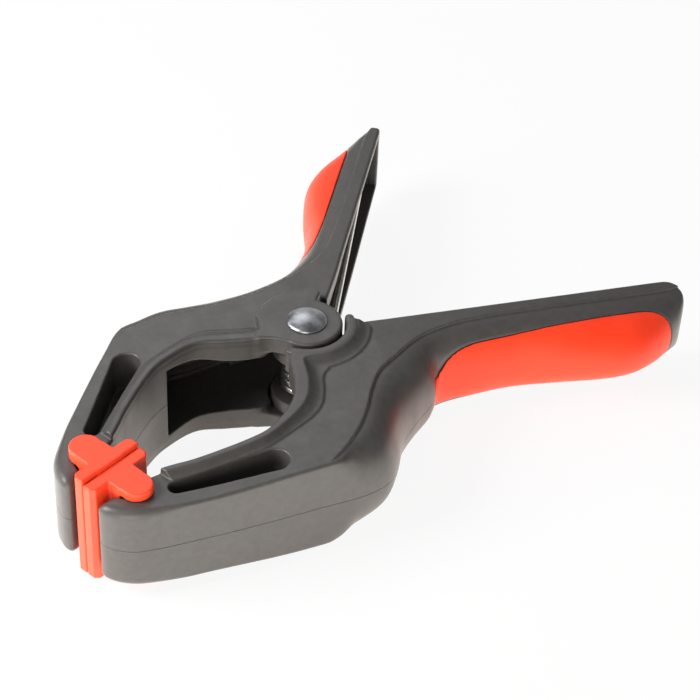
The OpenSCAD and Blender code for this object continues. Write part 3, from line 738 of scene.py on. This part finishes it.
# ---------------------------------------------------------------- materials
class Look:
    """A Principled material with real-scale noise, in the row frame's metres."""

    def __init__(self, name, colour, roughness, metallic=0.0, specular=0.5):
        self.made = bpy.data.materials.new(name)
        self.made.use_nodes = True
        self.tree = self.made.node_tree
        self.skin = self.tree.nodes["Principled BSDF"]
        self.skin.inputs["Base Color"].default_value = (*colour, 1)
        self.skin.inputs["Roughness"].default_value = roughness
        self.skin.inputs["Metallic"].default_value = metallic
        self.skin.inputs["Specular IOR Level"].default_value = specular
        self.place = self.tree.nodes.new("ShaderNodeTexCoord").outputs["Object"]

    def node(self, kind, **inputs):
        made = self.tree.nodes.new(kind)
        for name, value in inputs.items():
            socket = made.inputs[name.replace("_", " ")]
            if isinstance(value, bpy.types.NodeSocket):
                self.tree.links.new(value, socket)
            else:
                socket.default_value = value
        return made

    def noise(self, size_mm, detail=2.0):
        made = self.node("ShaderNodeTexNoise", Vector=self.place, Scale=1000 / size_mm, Detail=detail)
        return made.outputs["Fac"]

    def between(self, value, low, high, start=0.3, end=0.7):
        """low up to start and high from end on, with a straight change between."""
        made = self.tree.nodes.new("ShaderNodeMapRange")
        self.tree.links.new(value, made.inputs["Value"])
        for name, number in (("From Min", start), ("From Max", end), ("To Min", low), ("To Max", high)):
            made.inputs[name].default_value = number
        return made.outputs[0]

    def parting_line(self):
        """0 on the mould's parting line at mid height, and 1 a little off it."""
        height = self.node("ShaderNodeSeparateXYZ", Vector=self.place).outputs["Z"]
        shift = self.tree.nodes.new("ShaderNodeMath")
        shift.operation = "SUBTRACT"
        shift.inputs[1].default_value = REST_Z * MM
        off = self.tree.nodes.new("ShaderNodeMath")
        off.operation = "ABSOLUTE"
        self.tree.links.new(height, shift.inputs[0])
        self.tree.links.new(shift.outputs[0], off.inputs[0])
        return self.between(off.outputs[0], 0, 1, 0.05 * MM, 0.22 * MM)

    def tint(self, value, low, high):
        """Mixes from low to high, both linear colours, by value."""
        made = self.tree.nodes.new("ShaderNodeMix")
        made.data_type = "RGBA"
        self.tree.links.new(value, made.inputs[0])
        made.inputs[6].default_value = (*low, 1)
        made.inputs[7].default_value = (*high, 1)
        self.tree.links.new(made.outputs[2], self.skin.inputs["Base Color"])

    def rough(self, value):
        self.tree.links.new(value, self.skin.inputs["Roughness"])

    def bump(self, *layers):
        """Layers of (height, depth in mm) from the finest to the broadest."""
        normal = None
        for height, depth_mm in layers:
            made = self.node("ShaderNodeBump", Height=height, Strength=1.0, Distance=depth_mm * MM)
            if normal:
                self.tree.links.new(normal, made.inputs["Normal"])
            normal = made.outputs[0]
        self.tree.links.new(normal, self.skin.inputs["Normal"])


def nylon():
    look = Look("moulded_nylon", (0.06, 0.057, 0.055), 0.42)
    fine, coarse = look.noise(0.35, 3), look.noise(7, 2)
    look.tint(look.between(look.noise(2.2, 4), 0, 1), (0.052, 0.049, 0.047), (0.064, 0.061, 0.058))
    look.rough(look.between(coarse, 0.38, 0.46))
    line = look.parting_line()
    look.bump((fine, 0.012), (line, 0.3), (coarse, 0.06))
    return look.made


def soft_grip():
    look = Look("soft_grip_rubber", (0.93, 0.045, 0.01), 0.55, specular=0.35)
    fine, coarse = look.noise(0.3, 2), look.noise(11, 2)
    look.tint(look.between(coarse, 0, 1), (0.90, 0.04, 0.008), (0.95, 0.05, 0.012))
    look.rough(look.between(coarse, 0.5, 0.58))
    look.bump((fine, 0.006), (coarse, 0.05))
    return look.made


def pad_rubber():
    look = Look("pad_rubber", (0.92, 0.065, 0.02), 0.45, specular=0.4)
    fine, coarse = look.noise(0.3, 2), look.noise(4, 2)
    look.tint(look.between(coarse, 0, 1), (0.88, 0.06, 0.018), (0.94, 0.07, 0.024))
    look.rough(look.between(coarse, 0.42, 0.5))
    look.bump((fine, 0.008), (coarse, 0.04))
    return look.made


def steel():
    look = Look("spring_wire_steel", (0.4, 0.39, 0.37), 0.35, metallic=1.0)
    drawn = look.noise(0.25, 2)
    look.tint(look.between(look.noise(3, 3), 0, 1), (0.34, 0.33, 0.31), (0.46, 0.45, 0.43))
    look.rough(look.between(drawn, 0.3, 0.42))
    look.bump((drawn, 0.008))
    return look.made


def zinc():
    look = Look("zinc_rivet", (0.5, 0.52, 0.55), 0.38, metallic=1.0)
    cloud, fine = look.noise(3.0, 3), look.noise(0.3, 3)
    look.tint(look.between(cloud, 0, 1), (0.25, 0.265, 0.28), (0.5, 0.52, 0.55))
    look.rough(look.between(cloud, 0.3, 0.46))
    look.bump((fine, 0.006), (cloud, 0.05))
    return look.made


# ---------------------------------------------------------------- the clamp
LOOK = {
    "nylon": nylon(),
    "soft_grip": soft_grip(),
    "pad": pad_rubber(),
    "spring_steel": steel(),
    "zinc": zinc(),
}

for side, word, make in ((FAR, "far", far_arm_field), (NEAR, "near", near_arm_field)):
    points = np.array([p for row in stations(side) for p in row[:3]])
    low, high = points.min(0), points.max(0)
    block = Block((low[0] - 2, -PLATE_R - 2, -19), (high[0] + 2, high[1] + 2, 19), PITCH_ARM)
    arm = Arm(side, block)
    field, shell, covered, core = make(arm)
    piece(mesh_field(f"{word}_arm_body", field, block, side), f"{word}_side", f"{word}_arm", "nylon")
    field = grip_field(shell, covered, core)
    piece(mesh_field(f"{word}_grip_cover", field, block, side), f"{word}_side", f"{word}_grip", "soft_grip")
    x, w = jaw(side, -PAD_X, PAD_V)
    block = Block((x - 12, w - 12, -19), (x + 12, w + 7, 20), PITCH_FINE)
    field = pad_field(side, FAR_PAD_EXTRA if side == FAR else 0, block)
    piece(mesh_field(f"{word}_pad_block", field, block, side), f"{word}_pad_body", f"{word}_pad", "pad")

piece(rivet(), "far_side", "rivet", "zinc")
wire = piece(spring(), None, "spring", "spring_steel")
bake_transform(wire)


# ---------------------------------------------------------------- stage
FLOOR_HALF = 3.0
WORLD_FILL, FLOOR_GLOW = 0.22, 1.5
CAMERA_TARGET = Vector((15.49, -4.39, REST_Z)) * MM
CAMERA_AZIMUTH, CAMERA_ELEVATION, CAMERA_ROLL = math.radians(-50.7), math.radians(40.11), math.radians(2.98)
CAMERA_DISTANCE, CAMERA_LENS = 624.1 * MM, 105.59


def floor():
    """A white floor that keeps the shadow, and lights the clamp from below like a light table."""
    h = FLOOR_HALF
    mesh = bpy.data.meshes.new("floor")
    mesh.from_pydata([(-h, -h, 0), (h, -h, 0), (h, h, 0), (-h, h, 0)], [], [(0, 1, 2, 3)])
    made = bpy.data.materials.new("white_floor")
    made.use_nodes = True
    tree = made.node_tree
    tree.nodes.clear()
    paint = tree.nodes.new("ShaderNodeBsdfDiffuse")
    paint.inputs["Color"].default_value = (0.86, 0.86, 0.86, 1)
    glow = tree.nodes.new("ShaderNodeEmission")
    bounce = tree.nodes.new("ShaderNodeEmission")
    bounce.inputs["Color"].default_value = (1, 0.93, 0.85, 1)
    bounce.inputs["Strength"].default_value = FLOOR_GLOW
    lit = tree.nodes.new("ShaderNodeAddShader")
    seen = tree.nodes.new("ShaderNodeMixShader")
    rays = tree.nodes.new("ShaderNodeLightPath")
    share = tree.nodes.new("ShaderNodeMath")
    share.operation = "MULTIPLY"
    share.inputs[1].default_value = 0.9
    mix = tree.nodes.new("ShaderNodeMixShader")
    out = tree.nodes.new("ShaderNodeOutputMaterial")
    tree.links.new(rays.outputs["Is Camera Ray"], share.inputs[0])
    tree.links.new(share.outputs[0], mix.inputs[0])
    tree.links.new(paint.outputs[0], mix.inputs[1])
    tree.links.new(glow.outputs[0], mix.inputs[2])
    tree.links.new(paint.outputs[0], lit.inputs[0])
    tree.links.new(bounce.outputs[0], lit.inputs[1])
    tree.links.new(rays.outputs["Is Camera Ray"], seen.inputs[0])
    tree.links.new(lit.outputs[0], seen.inputs[1])
    tree.links.new(mix.outputs[0], seen.inputs[2])
    tree.links.new(seen.outputs[0], out.inputs["Surface"])
    mesh.materials.append(made)
    link("floor", mesh)


def world():
    """White for the camera, and an even fill for everything else."""
    made = bpy.data.worlds.new("studio")
    bpy.context.scene.world = made
    made.use_nodes = True
    tree = made.node_tree
    tree.nodes.clear()
    rays = tree.nodes.new("ShaderNodeLightPath")
    seen = tree.nodes.new("ShaderNodeBackground")
    seen.inputs["Strength"].default_value = 1.0
    seen.inputs["Color"].default_value = (1, 1, 1, 1)
    fill = tree.nodes.new("ShaderNodeBackground")
    fill.inputs["Color"].default_value = (1, 1, 1, 1)
    fill.inputs["Strength"].default_value = WORLD_FILL
    mix = tree.nodes.new("ShaderNodeMixShader")
    out = tree.nodes.new("ShaderNodeOutputWorld")
    tree.links.new(rays.outputs["Is Camera Ray"], mix.inputs[0])
    tree.links.new(fill.outputs[0], mix.inputs[1])
    tree.links.new(seen.outputs[0], mix.inputs[2])
    tree.links.new(mix.outputs[0], out.inputs["Surface"])


def lamp(name, at, aim, size, power, colour=(1, 1, 1)):
    data = bpy.data.lights.new(name, "AREA")
    data.shape, data.size, data.energy = "SQUARE", size, power
    data.color = colour
    obj = link(name, data)
    obj.location = at
    obj.rotation_mode = "QUATERNION"
    obj.rotation_quaternion = (Vector(aim) - Vector(at)).to_track_quat("-Z", "Y")


def camera():
    data = bpy.data.cameras.new("camera")
    data.lens, data.sensor_width = CAMERA_LENS, 36
    obj = link("camera", data)
    a, e = CAMERA_AZIMUTH, CAMERA_ELEVATION
    back = Vector((math.sin(a) * math.cos(e), -math.cos(a) * math.cos(e), math.sin(e)))
    obj.location = CAMERA_TARGET + back * CAMERA_DISTANCE
    obj.rotation_mode = "QUATERNION"
    obj.rotation_quaternion = (-back).to_track_quat("-Z", "Y") @ Quaternion((0, 0, 1), CAMERA_ROLL)
    bpy.context.scene.camera = obj


floor()
world()
camera()
lamp("window_left", (-0.45, 0.3, 0.42), (-0.03, 0, 0), 0.35, 6.2)
lamp("back_sheen", (0.45, 0.62, 0.75), (-0.05, 0.03, 0.03), 0.55, 2.2)
lamp("front_low", (-0.7, -0.45, 0.2), (-0.05, 0, 0.02), 0.45, 4.4, (1, 0.92, 0.82))

scene = bpy.context.scene
scene.view_settings.view_transform = "Standard"
